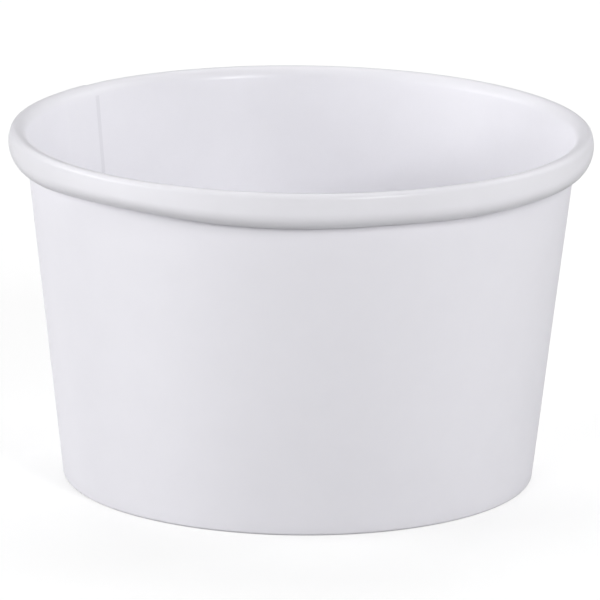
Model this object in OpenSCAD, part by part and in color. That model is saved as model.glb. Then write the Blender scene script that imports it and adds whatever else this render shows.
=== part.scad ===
// Paper soup container: a tapered tub with a rolled brim, an overlapped side seam,
// and a recessed base whose skirt is gripped by the turned-in foot of the wall.
// The centre line is Z and the standing plane is z = 0. A section is drawn as [radius, height].

/* [Overall] */
// Outer diameter of the rolled brim
brim_d = 96; // [90:0.5:116]
// Height from the standing plane to the top of the brim
height = 58.5; // [35:0.5:150]
// Diameter of the wall's outer face where it meets the standing plane
foot_d = 77.6; // [64:0.2:86]

/* [Board] */
// Thickness of the board that the wall is made of
board = 0.45; // [0.3:0.01:0.6]
// Thickness of the board that the base is made of
base_board = 0.4; // [0.25:0.01:0.55]
// Space for the coating between two sealed faces
seal = 0.06; // [0.05:0.01:0.12]

/* [Brim] */
// How far the brim stands out past the line of the wall, level with its top
overhang = 2.5; // [2.1:0.1:3.6]
// Radius of the rounding from the brim's top to its outer face
lip_r = 0.9; // [0.7:0.05:1.5]
// Angle above level at which that rounding meets the outer face
lip_turn = 21.5; // [10:0.5:35]
// Radius of the brim's bulging outer face, seen in section
face_r = 4.7; // [4:0.1:6.5]
// Radius of the rounding at the brim's underside
under_r = 0.7; // [0.65:0.05:1.1]
// Length of the board's end tucked up inside the brim
tuck = 1.8; // [0.5:0.1:2.6]
// Space between the wall and the end tucked up beside it
tuck_gap = 0.1; // [0.05:0.01:0.3]

/* [Foot and base] */
// Height of the base's underside above the standing plane
recess = 6.5; // [4:0.1:14]
// Outer radius of the bend from the base's disc to its skirt
base_bend = 0.9; // [0.7:0.05:2]
// Space between the bend's inside and the cut edge of the turned-in foot
hem_gap = 0.5; // [0.2:0.1:2]

/* [Side seam] */
// Where the inner cut edge of the seam stands, counted anticlockwise from +X
seam_at = 141; // [0:1:359]
// Width over which the two ends of the blank overlap
lap_w = 7; // [4:0.5:12]
// Height of the seam's inner layer above the base's disc
lap_above = 0.3; // [0.1:0.1:2]
// Space between the seam's outer layer and the brim's underside
lap_below = 0.3; // [0.1:0.1:2]

/* [Hidden] */
$fn = 180;
arc_steps = 8;

brim_r = brim_d / 2;
foot_r = foot_d / 2;
slope = (brim_r - overhang - foot_r) / height;
taper = atan(slope);

// The brim's roundings run into each other: shoulder, lip, outer face, underside
face_c = [brim_r - face_r, height - lip_r - (face_r - lip_r) * sin(lip_turn)];
lip_c = [face_c.x + (face_r - lip_r) * cos(lip_turn), height - lip_r];
shoulder_r = (lip_c.x - layer_r(height, board)) / (1 / cos(taper) - slope);
shoulder_c = [lip_c.x, height - shoulder_r];
face_side = (face_c.x - layer_r(face_c.y, 0)) * cos(taper);
under_turn = taper + acos((under_r + tuck_gap - face_side) / (face_r - under_r));
under_c = face_c + (face_r - under_r) * [cos(under_turn), -sin(under_turn)];

// The foot is folded up round the base's skirt: wall, skirt, hem
skirt_in = board + seal;
hem_in = skirt_in + base_board + seal;
hem_top = recess - (base_bend - base_board) - hem_gap;
bend_z = recess + base_board - base_bend;

// Along the seam the two layers lie on a slight slant, turned about an axis set aside
lap_r = (foot_r + brim_r - overhang) / 2;
lap_turn = lap_w / lap_r * 180 / PI;
lap_aside = board / sin(lap_turn);
lap_out = lap_aside * lap_aside / (2 * lap_r);
lap_drift = lap_aside * lap_aside / 4 * (1 / foot_r - 1 / (brim_r - overhang));
lap_proud = seal / 2 + lap_drift;
lap_low = recess + base_board + lap_above;
lap_high = under_c.y - under_r - lap_below;
lap_fade = shoulder_c + (shoulder_r - board / 2) * [cos(135), sin(135)];

// Radius at height z of a face that lies this deep behind the wall's outer face
function layer_r(z, depth) = foot_r + slope * z - depth / cos(taper);

function layer(z, depth) = [layer_r(z, depth), z];

function arc_on(centre, r, from, to) =
    [for (i = [1 : arc_steps]) let (a = from + (to - from) * i / arc_steps) centre + r * [cos(a), sin(a)]];

function arc(centre, r, from, to) =
    concat([centre + r * [cos(from), sin(from)]], arc_on(centre, r, from, to));

function backwards(points) = [for (i = [len(points) - 1 : -1 : 0]) points[i]];

// One face of the board from the wall's top, over the brim and up to the tucked end
function brim_face(inset) = concat(
    arc(shoulder_c, shoulder_r - inset, 180 - taper, 90),
    arc_on(lip_c, lip_r - inset, 90, lip_turn),
    arc_on(face_c, face_r - inset, lip_turn, -under_turn),
    arc_on(under_c, under_r - inset, -under_turn, -180 - taper),
    [under_c + (under_r - inset) * [-cos(taper), sin(taper)] + tuck * [sin(taper), cos(taper)]]
);

// Section of the wall's board, from the turned-in foot to the rolled brim
module blank_section() {
    heel = layer(board, board);
    toe = layer(board, hem_in);
    polygon(concat(
        [heel],
        brim_face(0),
        backwards(brim_face(board)),
        arc(heel, board, -taper, -90),
        arc(toe, board, -90, -180 - taper),
        [layer(hem_top, hem_in + board), layer(hem_top, hem_in), toe]
    ));
}

// Sector in which the blank's two ends overlap
module lap_sector() {
    rotate([0, 0, seam_at]) rotate_extrude(angle = lap_turn) children();
}

// Ring about the axis set aside, so that its faces cross the sector on a slant
module lap_slant() {
    rotate([0, 0, seam_at]) translate([lap_out, lap_aside, 0]) rotate_extrude() children();
}

// The inner layer stands proud at its cut edge, settles into the wall, and fades out at the brim
module inner_lap() {
    inside = 2 * board + lap_proud;
    intersection() {
        lap_sector() polygon([
            layer(lap_low, 3 * board), layer(lap_low, 0.6 * board), layer(shoulder_c.y, 0.6 * board),
            lap_fade, layer(lap_fade.y, 3 * board)
        ]);
        lap_slant() polygon([
            layer(lap_low - 1, inside), layer(lap_low - 1, -board), layer(lap_fade.y, -board),
            lap_fade + [0.4 * board, 0], layer(shoulder_c.y, inside)
        ]);
    }
}

// The outer layer rises out of the wall towards its own cut edge
module outer_lap() {
    intersection() {
        lap_sector() polygon([
            layer(board, 0.4 * board), layer(board, -2 * board),
            layer(lap_high, -2 * board), layer(lap_high, 0.4 * board)
        ]);
        lap_slant() polygon([
            layer(0, 1.9 * board), layer(0, -lap_proud),
            layer(lap_high + 1, -lap_proud), layer(lap_high + 1, 1.9 * board)
        ]);
    }
}

// Section of the base: a flat disc with a skirt drawn down along the wall
module base_section() {
    bend_c = layer(bend_z, skirt_in + base_bend);
    skirt_foot = board + seal;
    polygon(concat(
        [[0, recess + base_board]],
        arc(bend_c, base_bend, 90, -taper),
        [layer(skirt_foot, skirt_in), layer(skirt_foot, skirt_in + base_board)],
        arc(bend_c, base_bend - base_board, -taper, 90),
        [[0, recess]]
    ));
}

module sidewall() {
    color([0.93, 0.93, 0.95]) union() {
        rotate_extrude() blank_section();
        inner_lap();
        outer_lap();
    }
}

module base() {
    color([0.9, 0.9, 0.92]) rotate_extrude() base_section();
}

sidewall();
base();
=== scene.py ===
import math
import bpy
from mathutils import Matrix, Vector, noise


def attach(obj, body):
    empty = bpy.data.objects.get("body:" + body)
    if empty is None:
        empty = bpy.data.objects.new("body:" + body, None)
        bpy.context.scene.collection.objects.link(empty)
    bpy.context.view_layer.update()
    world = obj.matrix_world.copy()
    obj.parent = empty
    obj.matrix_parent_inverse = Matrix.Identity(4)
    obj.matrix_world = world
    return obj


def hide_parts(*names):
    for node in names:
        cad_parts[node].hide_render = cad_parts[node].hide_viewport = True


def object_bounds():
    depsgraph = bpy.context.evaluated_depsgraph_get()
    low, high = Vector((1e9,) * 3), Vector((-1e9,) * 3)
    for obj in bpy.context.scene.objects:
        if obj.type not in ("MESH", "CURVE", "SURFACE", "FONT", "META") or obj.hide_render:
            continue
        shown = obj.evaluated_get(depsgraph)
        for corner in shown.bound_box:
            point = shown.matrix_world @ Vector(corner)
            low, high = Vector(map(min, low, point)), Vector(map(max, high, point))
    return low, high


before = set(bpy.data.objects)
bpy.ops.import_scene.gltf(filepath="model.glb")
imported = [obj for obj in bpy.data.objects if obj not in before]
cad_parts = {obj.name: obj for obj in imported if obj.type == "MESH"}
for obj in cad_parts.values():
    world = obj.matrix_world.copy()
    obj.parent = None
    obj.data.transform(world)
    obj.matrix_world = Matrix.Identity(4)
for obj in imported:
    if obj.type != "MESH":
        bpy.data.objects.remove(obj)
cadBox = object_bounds()
print("frame loaded")

mm = 0.001
hair = 1e-6        # a length or a turn too small to matter
sharpFrom = 38     # degrees between two faces from which their edge stays sharp

# The tub's section. The brim's radius and the height come from the solids. A brim's section is
# (turn of its lip in degrees, straight run, radius of its face, radius of its underside).
tub = {
    "brimRadius": cadBox[1].x,
    "height": cadBox[1].z,
    "footRadius": 38.8 * mm,
    "overhang": 2.5 * mm,
    "board": 0.45 * mm,
    "baseBoard": 0.4 * mm,
    "seal": 0.06 * mm,
    "lipRadius": 0.9 * mm,
    "round": (18.5, 0.2 * mm, 4.7 * mm, 0.7 * mm),      # the brim at the sides and the back
    "pressed": (3, 2.3 * mm, 2.8 * mm, 0.5 * mm),       # the brim in front, where it looks flatter
    "tuck": 1.8 * mm,
    "tuckGap": 0.1 * mm,
    "foldRadius": 0.08 * mm,      # inside of the foot's two folds
    "recess": 6.5 * mm,
    "baseBend": 0.9 * mm,
    "hemGap": 0.5 * mm,
}

# How many stretches each run of the wall's section is divided into
wallSteps = {
    "hem": 3,
    "fold": 6,
    "floor": 2,
    "wallFoot": 4,
    "wall": 20,
    "shoulder": 14,
    "lip": 9,
    "straight": 4,
    "face": 14,
    "under": 12,
    "tuck": 3,
}

slope = (tub["brimRadius"] - tub["overhang"] - tub["footRadius"]) / tub["height"]
taper = math.degrees(math.atan(slope))
skirtIn = tub["board"] + tub["seal"]
hemIn = skirtIn + tub["baseBoard"] + tub["seal"]


def direction(angle):
    return Vector((math.cos(math.radians(angle)), math.sin(math.radians(angle))))


def layer(z, depth):
    # a point this deep behind the wall's outer face, as (radius, height)
    return Vector((tub["footRadius"] + slope * z - depth / math.cos(math.radians(taper)), z))


def arc(centre, radius, start, end, steps, part, hollow=False):
    # samples of a rounding: place, normal angle, name, how far along it
    side = -1 if hollow else 1
    samples = []
    for i in range(steps + 1):
        angle = start + (end - start) * i / steps
        samples.append((centre + side * radius * direction(angle), angle, part, i / steps))
    return samples


def line(start, end, angle, steps, part):
    return [(start.lerp(end, i / steps), angle, part, i / steps) for i in range(steps + 1)]


def joined(runs):
    # one run of samples, without the repeats where two meet
    samples = []
    for run in runs:
        samples += run if not samples else run[1:]
    return samples


# The side seam: two ends of one blank that pass each other on a slight slant
seam = {
    "at": 141,                    # where the inner cut edge stands, anticlockwise from +X
    "width": 7 * mm,
    "above": 0.3 * mm,            # the inner layer starts this far above the base
    "rolledProud": 0.05 * mm,     # how far the cut edge still stands proud on the brim
    "rolledEdge": 0.13 * mm,      # what the rolling leaves of the board at that edge
    "ease": 7,                    # degrees over which the brim dips beside the step
    "gap": 0.01 * mm,
    "edgeBevel": 0.05 * mm,
    "paintedShadowStrip": 1.4 * mm,             # width of a greyer strip beside the cut edge: painted shadow of the step
    "fineStep": 0.32,             # degrees between columns at the seam
    "wideStep": 1.5,              # and elsewhere
    "margin": 2,                  # degrees of fine columns before the brim starts to dip
}
seamRadius = (tub["footRadius"] + tub["brimRadius"] - tub["overhang"]) / 2
lapTurn = math.degrees(seam["width"] / seamRadius)
lapLow = tub["recess"] + tub["baseBoard"] + seam["above"]


def blankSection(lipTurn, straight, faceRadius, underRadius):
    # the board's coated face, from the turned-in edge of the foot to the end tucked up in the brim
    t, n = tub, wallSteps
    lipReach = faceRadius - t["lipRadius"]
    down = straight * direction(lipTurn - 90)
    faceCentre = Vector((t["brimRadius"] - faceRadius,
                         t["height"] - t["lipRadius"] - lipReach * direction(lipTurn).y + down.y))
    lipCentre = faceCentre + lipReach * direction(lipTurn) - down
    cosTaper = math.cos(math.radians(taper))
    shoulderRadius = (lipCentre.x - layer(t["height"], t["board"]).x) / (1 / cosTaper - slope)
    shoulderCentre = Vector((lipCentre.x, t["height"] - shoulderRadius))
    reach = faceRadius - underRadius
    faceSide = (faceCentre.x - layer(faceCentre.y, 0).x) * cosTaper
    underTurn = taper + math.degrees(math.acos((underRadius + t["tuckGap"] - faceSide) / reach))
    underCentre = faceCentre + reach * direction(-underTurn)

    hemTop = t["recess"] - (t["baseBend"] - t["baseBoard"]) - t["hemGap"]
    floor = t["board"] + t["foldRadius"]
    toeCentre = layer(floor, hemIn - t["foldRadius"])
    heelCentre = layer(floor, floor)
    toe = arc(toeCentre, t["foldRadius"], -taper, 90, n["fold"], "toe", hollow=True)
    heel = arc(heelCentre, t["foldRadius"], 90, 180 - taper, n["fold"], "heel", hollow=True)
    shoulder = arc(shoulderCentre, shoulderRadius, 180 - taper, 90, n["shoulder"], "shoulder")
    under = arc(underCentre, underRadius, -underTurn, -180 - taper, n["under"], "under")
    lip = arc(lipCentre, t["lipRadius"], 90, lipTurn, n["lip"], "lip")
    tuckEnd = under[-1][0] + t["tuck"] * direction(90 - taper)
    wallLow = layer(lapLow, t["board"])
    return joined([
        line(layer(hemTop, hemIn), toe[0][0], -taper, n["hem"], "hem"),
        toe,
        line(toe[-1][0], heel[0][0], 90, n["floor"], "floor"),
        heel,
        line(heel[-1][0], wallLow, 180 - taper, n["wallFoot"], "wall"),
        line(wallLow, shoulder[0][0], 180 - taper, n["wall"], "wall"),
        shoulder,
        lip,
        line(lip[-1][0], lip[-1][0] + down, lipTurn, n["straight"], "face"),
        arc(faceCentre, faceRadius, lipTurn, -underTurn, n["face"], "face"),
        under,
        line(under[-1][0], tuckEnd, -180 - taper, n["tuck"], "tuck"),
    ])


def smooth(x):
    x = min(max(x, 0.0), 1.0)
    return x * x * (3 - 2 * x)


def layerShift(turn, part, along):
    # how far a layer is pushed towards its coated side, and how thick it is, at the seam
    board = tub["board"]
    sunk = board + seam["rolledProud"] - seam["rolledEdge"]
    thin = board
    if turn <= 180:
        left = max(1 - turn / lapTurn, 0)
        settle = 1 - smooth((turn - lapTurn) / seam["ease"])
        wall = (board + seam["gap"]) * left
        roll = seam["rolledProud"] * left
        thin = board - (board - seam["rolledEdge"]) * left
        tuck = -board * settle
    else:
        across = max((turn - 360) / lapTurn, 0)
        settle = smooth((turn - 360 + seam["ease"]) / seam["ease"])
        wall = -board * across
        roll = (sunk * (1 - across) - board) * settle
        tuck = -2 * board * settle
    if part in ("hem", "toe", "floor"):
        return 0.0, board
    if part in ("heel", "wall"):
        return wall, board
    if part == "shoulder":
        return wall + (roll - wall) * along, board + (thin - board) * along
    if part == "under":
        return roll + (tuck - roll) * along, thin + (board - thin) * along
    return (tuck, board) if part == "tuck" else (roll, thin)


# Small faults of a pressed paper tub. A stretch where the brim is rolled shallower is
# (its direction, its width, both in degrees, and the change as a share of the depth).
unevenness = {
    "rollDepth": [(217, 8, -0.02), (232, 20, -0.13), (290, 15, -0.045), (327, 14, -0.03)],
    "flatFrom": 182,              # directions between which the brim is pressed flatter
    "flatTo": 358,
    "flatEase": 32,
    "wallWave": 0.05 * mm,
    "wavePitch": 17 * mm,
    "waveFade": 8 * mm,           # the waves die out this near the foot and the top
}


def rollDepth(angle):
    depth = 1.0
    for at, width, amount in unevenness["rollDepth"]:
        off = (angle - at + 180) % 360 - 180
        depth += amount * math.exp(-(off / width) ** 2)
    return depth


def flatShare(angle):
    # 0 where the brim has its round section, 1 where it has its pressed one
    ease = unevenness["flatEase"]
    begun = smooth((angle - unevenness["flatFrom"]) / ease)
    return begun * smooth((unevenness["flatTo"] - angle) / ease)


def placed(r, z, angle):
    # from the section into space, with the wall's slight waves
    turn = math.radians(angle)
    point = Vector((r * math.cos(turn), r * math.sin(turn), z))
    wave = noise.noise(point / unevenness["wavePitch"]) * unevenness["wallWave"]
    reach = unevenness["waveFade"]
    fade = smooth(z / reach) * smooth((tub["height"] - z) / reach)
    outward = Vector((point.x, point.y, 0)).normalized()
    return point + outward * wave * fade


# Which of a piece's materials a face has
coatedLook, plainLook, cutLook, paintedShadowLook = range(4)


def meshObject(name, verts, faces, looks, materials):
    mesh = bpy.data.meshes.new(name)
    mesh.from_pydata(verts, [], faces)
    for material in materials:
        mesh.materials.append(material)
    mesh.polygons.foreach_set("material_index", looks)
    mesh.shade_smooth()
    mesh.set_sharp_from_angle(angle=math.radians(sharpFrom))
    mesh.update()
    piece = bpy.data.objects.new(name, mesh)
    bpy.context.scene.collection.objects.link(piece)
    return piece


def seamTurns():
    # where the blank's columns stand, close together at the seam
    wide, fine = seam["wideStep"], seam["fineStep"]
    spare = fine * 1.5            # leaves no sliver before the lap's end
    bevelTurn = math.degrees(seam["edgeBevel"] / seamRadius)
    turns = [0, bevelTurn]
    while turns[-1] < lapTurn - spare:
        turns.append(turns[-1] + fine)
    turns.append(lapTurn)
    while turns[-1] < lapTurn + seam["ease"]:
        turns.append(turns[-1] + fine)
    start = turns[-1]
    end = 360 - seam["ease"] - seam["margin"]
    count = round((end - start) / wide)
    turns += [start + (end - start) * i / count for i in range(1, count + 1)]
    last = 360 + lapTurn
    reach = last - bevelTurn - end
    count = round(reach / fine)
    turns += [end + reach * i / count for i in range(1, count + 1)]
    turns.append(last)
    return turns


def makeWall(coated, plain, cutEdge, paintedShadowStrip):
    section = blankSection(*tub["round"])
    pressed = blankSection(*tub["pressed"])
    lowAt = next(i for i, (place, _, part, _) in enumerate(section)
                 if part == "wall" and place.y > lapLow - hair)
    turns = seamTurns()
    verts, columns = [], []
    for turn in turns:
        first = lowAt if turn < lapTurn - hair else 0
        pinch = seam["edgeBevel"] if turn in (turns[0], turns[-1]) else 0.0
        angle = seam["at"] + turn
        depth = rollDepth(angle % 360)
        share = flatShare(angle % 360)
        column = {"first": first, "coated": {}, "plain": {}}
        for i in range(first, len(section)):
            place, normalAngle, part, along = section[i]
            place = place.lerp(pressed[i][0], share)
            normal = direction(normalAngle + (pressed[i][1] - normalAngle) * share)
            shift, thick = layerShift(turn, part, along)
            for side, inset in (("coated", pinch), ("plain", thick - pinch)):
                point = place + normal * (shift - inset)
                if part in ("heel", "wall"):
                    point.y = place.y - normal.y * inset
                if part in ("lip", "face", "under", "tuck"):
                    point.y = tub["height"] - (tub["height"] - point.y) * depth
                column[side][i] = len(verts)
                verts.append(placed(point.x, point.y, angle))
        columns.append(column)

    faces, looks = [], []

    def face(corners, look):
        faces.append(corners)
        looks.append(look)

    last = len(section) - 1
    # a strip of the coated wall beside the seam's cut edge gets a greyer finish: painted shadow of
    # the step
    paintedShadowTurn = 360 - math.degrees(seam["paintedShadowStrip"] / seamRadius)
    for a, b, turn in zip(columns, columns[1:], turns):
        first = max(a["first"], b["first"])
        for i in range(first, last):
            beside = paintedShadowTurn <= turn < 360 and section[i][2] == "wall"
            look = paintedShadowLook if beside else coatedLook
            face((a["coated"][i], a["coated"][i + 1], b["coated"][i + 1], b["coated"][i]), look)
            face((a["plain"][i + 1], a["plain"][i], b["plain"][i], b["plain"][i + 1]), plainLook)
        face((a["coated"][last], a["plain"][last], b["plain"][last], b["coated"][last]), cutLook)
        face((a["plain"][first], a["coated"][first], b["coated"][first], b["plain"][first]), cutLook)

    def cap(column, first, end, flip):
        # closes a cut edge of the blank
        inner, outer = column["coated"], column["plain"]
        for i in range(first, end):
            corners = (inner[i], outer[i], outer[i + 1], inner[i + 1])
            face(corners[::-1] if flip else corners, cutLook)

    start = next(c for c in columns if c["first"] == 0)
    cap(columns[0], lowAt, last, False)
    cap(start, 0, lowAt, False)
    cap(columns[-1], 0, last, True)
    return meshObject("wall_blank", verts, faces, looks, [coated, plain, cutEdge, paintedShadowStrip])


# The base: a disc with a drawn skirt, slightly dished, with the fine pleats of its bend
base = {
    "dish": 0.25 * mm,
    "ringInset": 4 * mm,          # a faint ring pressed into the disc, this far from its bend
    "ringWidth": 0.9 * mm,
    "ringDepth": 0.07 * mm,
    "pleats": 84,
    "pleatDepth": 0.035 * mm,
    "pleatPower": 6,              # higher for narrower pleats
    "pleatOnset": 1.4,            # higher for pleats that start sooner round the bend
    "skirtLoss": 0.4,             # share of their depth that is gone at the skirt's edge
    "pleatMean": 0.6,             # share of the depth that a usual pleat has
    "pleatSpread": 0.4,
    "pleatVariety": 0.11,         # higher for pleats that differ more from their neighbours
    "noisePlace": (3.1, 0.7),
    "skirtFoot": 0.62 * mm,
    "rings": 26,
    "bendSteps": 10,
    "skirtSteps": 5,
    "stepsPerPleat": 6,
}


def pleatAt(turn, part, along):
    # how deep the pleats are at a place on the base
    onset = smooth(along * base["pleatOnset"])
    reach = {"disc": 0, "bend": onset, "skirt": 1 - base["skirtLoss"] * along}[part]
    pleat = abs(math.sin(math.radians(turn) * base["pleats"] / 2)) ** base["pleatPower"]
    varied = noise.noise(Vector((turn * base["pleatVariety"], *base["noisePlace"])))
    uneven = base["pleatMean"] + base["pleatSpread"] * varied
    return base["pleatDepth"] * pleat * reach * uneven


def makeBase(coated, plain, cutEdge):
    t = tub
    discTop = t["recess"] + t["baseBoard"]
    bendZ = discTop - t["baseBend"]
    bendCentre = layer(bendZ, skirtIn + t["baseBend"])
    flat = bendCentre.x
    radii = [flat * k / base["rings"] for k in range(1, base["rings"] + 1)]
    top = [(Vector((r, discTop)), 90, "disc", r / flat) for r in radii]
    bend = arc(bendCentre, t["baseBend"], 90, -taper, base["bendSteps"], "bend")
    skirtEnd = layer(base["skirtFoot"], skirtIn)
    skirt = line(bend[-1][0], skirtEnd, -taper, base["skirtSteps"], "skirt")
    section = joined([top, bend, skirt])
    count = base["pleats"] * base["stepsPerPleat"]
    verts = [(0, 0, discTop - base["dish"]), (0, 0, t["recess"] - base["dish"])]
    rings = {0: [], 1: []}
    for side, inset in ((0, 0), (1, t["baseBoard"])):
        for place, normalAngle, part, along in section:
            ring = []
            for k in range(count):
                turn = 360 * k / count
                point = place - inset * direction(normalAngle)
                if part == "disc":
                    point.y -= base["dish"] * (1 - (place.x / flat) ** 2) ** 2
                    off = (flat - place.x - base["ringInset"]) / base["ringWidth"]
                    point.y -= base["ringDepth"] * math.exp(-off * off)
                point -= direction(normalAngle) * pleatAt(turn, part, along)
                ring.append(len(verts))
                angle = math.radians(turn)
                verts.append((point.x * math.cos(angle), point.x * math.sin(angle), point.y))
            rings[side].append(ring)
    faces, looks = [], []
    for k in range(count):
        n = (k + 1) % count
        faces.append((0, rings[0][0][k], rings[0][0][n]))
        faces.append((1, rings[1][0][n], rings[1][0][k]))
        looks += [coatedLook, plainLook]
        for inner, outer in zip(rings[0], rings[0][1:]):
            faces.append((inner[k], outer[k], outer[n], inner[n]))
            looks.append(coatedLook)
        for inner, outer in zip(rings[1], rings[1][1:]):
            faces.append((inner[n], outer[n], outer[k], inner[k]))
            looks.append(plainLook)
        faces.append((rings[0][-1][k], rings[1][-1][k], rings[1][-1][n], rings[0][-1][n]))
        looks.append(cutLook)
    return meshObject("base_disc", verts, faces, looks, [coated, plain, cutEdge])


# Finishes, in the linear colours of white board
paper = {
    "coatedDark": (0.768, 0.762, 0.800),
    "coatedLight": (0.780, 0.774, 0.812),
    "plainDark": (0.800, 0.792, 0.838),
    "plainLight": (0.812, 0.804, 0.850),
    # a greyer coated board for the strip beside the seam's cut edge: painted shadow of the step
    "paintedShadowDark": (0.705, 0.700, 0.737),
    "paintedShadowLight": (0.722, 0.717, 0.754),
    "cutDark": (0.70, 0.69, 0.70),
    "cutLight": (0.78, 0.775, 0.78),
    "coatedRoughness": (0.29, 0.36),
    "plainRoughness": (0.48, 0.6),
    "cutRoughness": (0.8, 0.95),
    "mottlePitch": 6 * mm,
    "peelPitch": 1.3 * mm,        # the film's soft orange peel
    "peelDepth": 0.006 * mm,
    "grainPitch": 1.8 * mm,
    "grainDepth": 0.008 * mm,
    "fibrePitch": 0.35 * mm,
    "coatedFibreDepth": 0.002 * mm,
    "plainFibreDepth": 0.006 * mm,
    "cutFibrePitch": 0.12 * mm,
    "cutFibreDepth": 0.03 * mm,
    "plainStretch": (1, 1, 0.45),
    "cutStretch": (1, 1, 4),
    "noiseRoughness": 0.55,
    "rampFrom": 0.3,              # where the two colours of a finish start and stop mixing
    "rampTo": 0.7,
}


def nodesFor(name):
    material = bpy.data.materials.new(name)
    material.use_nodes = True
    tree = material.node_tree
    shader = tree.nodes["Principled BSDF"]
    coordinates = tree.nodes.new("ShaderNodeTexCoord")
    return material, tree, shader, coordinates


def noiseNode(tree, coordinates, pitch, detail, stretch=None):
    texture = tree.nodes.new("ShaderNodeTexNoise")
    texture.inputs["Scale"].default_value = 1 / pitch
    texture.inputs["Detail"].default_value = detail
    texture.inputs["Roughness"].default_value = paper["noiseRoughness"]
    source = coordinates.outputs["Object"]
    if stretch:
        mapping = tree.nodes.new("ShaderNodeMapping")
        mapping.inputs["Scale"].default_value = stretch
        tree.links.new(source, mapping.inputs["Vector"])
        source = mapping.outputs["Vector"]
    tree.links.new(source, texture.inputs["Vector"])
    return texture.outputs["Fac"]


def ramp(tree, source, dark, light):
    node = tree.nodes.new("ShaderNodeValToRGB")
    node.color_ramp.elements[0].position = paper["rampFrom"]
    node.color_ramp.elements[1].position = paper["rampTo"]
    node.color_ramp.elements[0].color = (*dark, 1)
    node.color_ramp.elements[1].color = (*light, 1)
    tree.links.new(source, node.inputs["Fac"])
    return node.outputs["Color"]


def spread(tree, source, limits):
    node = tree.nodes.new("ShaderNodeMapRange")
    node.inputs["To Min"].default_value = limits[0]
    node.inputs["To Max"].default_value = limits[1]
    tree.links.new(source, node.inputs["Value"])
    return node.outputs["Result"]


def bump(tree, shader, heights):
    # stacked bumps, each as (height source, depth)
    normal = None
    for source, depth in heights:
        node = tree.nodes.new("ShaderNodeBump")
        node.inputs["Strength"].default_value = 1
        node.inputs["Distance"].default_value = depth
        tree.links.new(source, node.inputs["Height"])
        if normal:
            tree.links.new(normal, node.inputs["Normal"])
        normal = node.outputs["Normal"]
    tree.links.new(normal, shader.inputs["Normal"])


def coatedBoard(name, dark, light):
    # board under a thin film: satin, with a soft orange peel
    material, tree, shader, coordinates = nodesFor(name)
    mottle = noiseNode(tree, coordinates, paper["mottlePitch"], 4)
    peel = noiseNode(tree, coordinates, paper["peelPitch"], 2)
    fibre = noiseNode(tree, coordinates, paper["fibrePitch"], 3)
    tree.links.new(ramp(tree, mottle, dark, light), shader.inputs["Base Color"])
    tree.links.new(spread(tree, peel, paper["coatedRoughness"]), shader.inputs["Roughness"])
    bump(tree, shader, [(peel, paper["peelDepth"]), (fibre, paper["coatedFibreDepth"])])
    return material


def plainBoard():
    # the outer side: matt, with faint fibres
    material, tree, shader, coordinates = nodesFor("plain_board")
    mottle = noiseNode(tree, coordinates, paper["mottlePitch"], 5)
    fibre = noiseNode(tree, coordinates, paper["fibrePitch"], 3, paper["plainStretch"])
    grain = noiseNode(tree, coordinates, paper["grainPitch"], 3)
    colour = ramp(tree, mottle, paper["plainDark"], paper["plainLight"])
    tree.links.new(colour, shader.inputs["Base Color"])
    tree.links.new(spread(tree, grain, paper["plainRoughness"]), shader.inputs["Roughness"])
    bump(tree, shader, [(grain, paper["grainDepth"]), (fibre, paper["plainFibreDepth"])])
    return material


def cutBoard():
    # raw fibres where the board is cut
    material, tree, shader, coordinates = nodesFor("cut_board")
    fibre = noiseNode(tree, coordinates, paper["cutFibrePitch"], 4, paper["cutStretch"])
    colour = ramp(tree, fibre, paper["cutDark"], paper["cutLight"])
    tree.links.new(colour, shader.inputs["Base Color"])
    tree.links.new(spread(tree, fibre, paper["cutRoughness"]), shader.inputs["Roughness"])
    bump(tree, shader, [(fibre, paper["cutFibreDepth"])])
    return material


coated = coatedBoard("coated_board", paper["coatedDark"], paper["coatedLight"])
# the coated board made greyer for the strip beside the seam: painted shadow of the step
paintedSeamShadow = coatedBoard("painted_seam_shadow", paper["paintedShadowDark"], paper["paintedShadowLight"])
plain, cutEdge = plainBoard(), cutBoard()
print("finishes made")

wallPiece = makeWall(coated, plain, cutEdge, paintedSeamShadow)
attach(wallPiece, "root")
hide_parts("sidewall")
print("wall made,", len(wallPiece.data.polygons), "faces")

basePiece = makeBase(coated, plain, cutEdge)
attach(basePiece, "root")
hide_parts("base")
print("base made,", len(basePiece.data.polygons), "faces")

# Floor and lamps. A lamp is (direction anticlockwise from +X and rise, both in degrees, distance,
# width, height, power, whether it shows as a gleam).
studio = {
    "floorSize": 3.0,
    "floorColour": (0.375, 0.375, 0.375),
    "floorLift": 0.63,            # what the floor gives off towards the camera alone
    "ambient": 0.0,
    "aimHeight": 35 * mm,
    "lamps": {
        "left_box": (184, 10, 1.6, 1.2, 1.2, 26.3, False),
        "right_box": (354, 10, 1.6, 1.2, 1.2, 5.5, False),
        "right_back": (25, 10, 1.6, 1.0, 1.0, 8.0, False),
        "front_left": (250, 24, 1.6, 0.4, 0.4, 4.6, False),
        "front_right": (300, 34, 1.7, 0.3, 0.3, 6.0, False),
        "back_high": (90, 55, 1.6, 1.2, 1.2, 14.8, False),
        "left_strip": (181, 18, 1.6, 1.4, 0.3, 4.2, True),
        "right_gleam": (22, 38, 1.6, 0.3, 0.3, 2.2, True),
        "front_gleam": (300, 20, 1.7, 0.35, 0.35, 10.5, True),
    },
}


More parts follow.
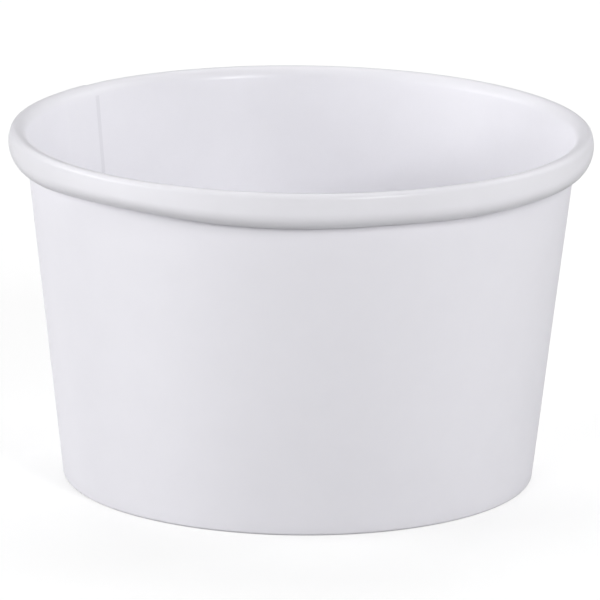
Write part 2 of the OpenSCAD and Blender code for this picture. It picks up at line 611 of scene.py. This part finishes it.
def makeFloor():
    half = studio["floorSize"] / 2
    mesh = bpy.data.meshes.new("floor")
    corners = [(-half, -half, 0), (half, -half, 0), (half, half, 0), (-half, half, 0)]
    mesh.from_pydata(corners, [], [(0, 1, 2, 3)])
    floor = bpy.data.objects.new("floor", mesh)
    bpy.context.scene.collection.objects.link(floor)
    material = bpy.data.materials.new("floor_paper")
    material.use_nodes = True
    tree = material.node_tree
    shader = tree.nodes["Principled BSDF"]
    shader.inputs["Base Color"].default_value = (*studio["floorColour"], 1)
    shader.inputs["Roughness"].default_value = 1
    shader.inputs["Specular IOR Level"].default_value = 0
    path = tree.nodes.new("ShaderNodeLightPath")
    lift = tree.nodes.new("ShaderNodeMath")
    lift.operation = "MULTIPLY"
    lift.inputs[1].default_value = studio["floorLift"]
    tree.links.new(path.outputs["Is Camera Ray"], lift.inputs[0])
    tree.links.new(lift.outputs["Value"], shader.inputs["Emission Strength"])
    shader.inputs["Emission Color"].default_value = (1, 1, 1, 1)
    mesh.materials.append(material)


def makeWorld():
    # white to the camera, and as bright as "ambient" says to everything else
    world = bpy.data.worlds.new("studio")
    world.use_nodes = True
    tree = world.node_tree
    background = tree.nodes["Background"]
    background.inputs["Color"].default_value = (1, 1, 1, 1)
    path = tree.nodes.new("ShaderNodeLightPath")
    strength = tree.nodes.new("ShaderNodeMix")
    strength.data_type = "FLOAT"
    strength.inputs[2].default_value = studio["ambient"]
    strength.inputs[3].default_value = 1.0
    tree.links.new(path.outputs["Is Camera Ray"], strength.inputs[0])
    tree.links.new(strength.outputs[0], background.inputs["Strength"])
    bpy.context.scene.world = world


def makeLamps():
    aim = Vector((0, 0, studio["aimHeight"]))
    for name, (turn, rise, distance, width, height, power, gleam) in studio["lamps"].items():
        level = direction(turn) * math.cos(math.radians(rise))
        towards = Vector((level.x, level.y, math.sin(math.radians(rise))))
        data = bpy.data.lights.new(name, "AREA")
        data.energy = power
        data.shape = "RECTANGLE"
        data.size = width
        data.size_y = height
        lamp = bpy.data.objects.new(name, data)
        lamp.visible_glossy = gleam
        lamp.location = aim + towards * distance
        lamp.rotation_mode = "QUATERNION"
        lamp.rotation_quaternion = (-towards).to_track_quat("-Z", "Y")
        bpy.context.scene.collection.objects.link(lamp)


# The camera looks at the middle of the tub
view = {
    "distance": 1.1928,
    "elevation": 14.316,          # degrees above level
    "roll": 0.632,
    "lens": 433.96,
    "sensor": 36.0,
    "shift": 0.00094,
}


def makeCamera():
    data = bpy.data.cameras.new("photo_view")
    data.lens = view["lens"]
    data.sensor_width = view["sensor"]
    data.shift_x = view["shift"]
    camera = bpy.data.objects.new("photo_view", data)
    middle = Vector((0, 0, tub["height"] / 2))
    up = math.radians(view["elevation"])
    camera.location = middle + view["distance"] * Vector((0, -math.cos(up), math.sin(up)))
    level = (middle - camera.location).to_track_quat("-Z", "Y")
    roll = Matrix.Rotation(math.radians(view["roll"]), 3, "Z").to_quaternion()
    camera.rotation_mode = "QUATERNION"
    camera.rotation_quaternion = level @ roll
    bpy.context.scene.collection.objects.link(camera)
    bpy.context.scene.camera = camera


makeFloor()
makeWorld()
makeLamps()
makeCamera()
bpy.context.scene.view_settings.view_transform = "Standard"
print("floor, lamps and camera set")
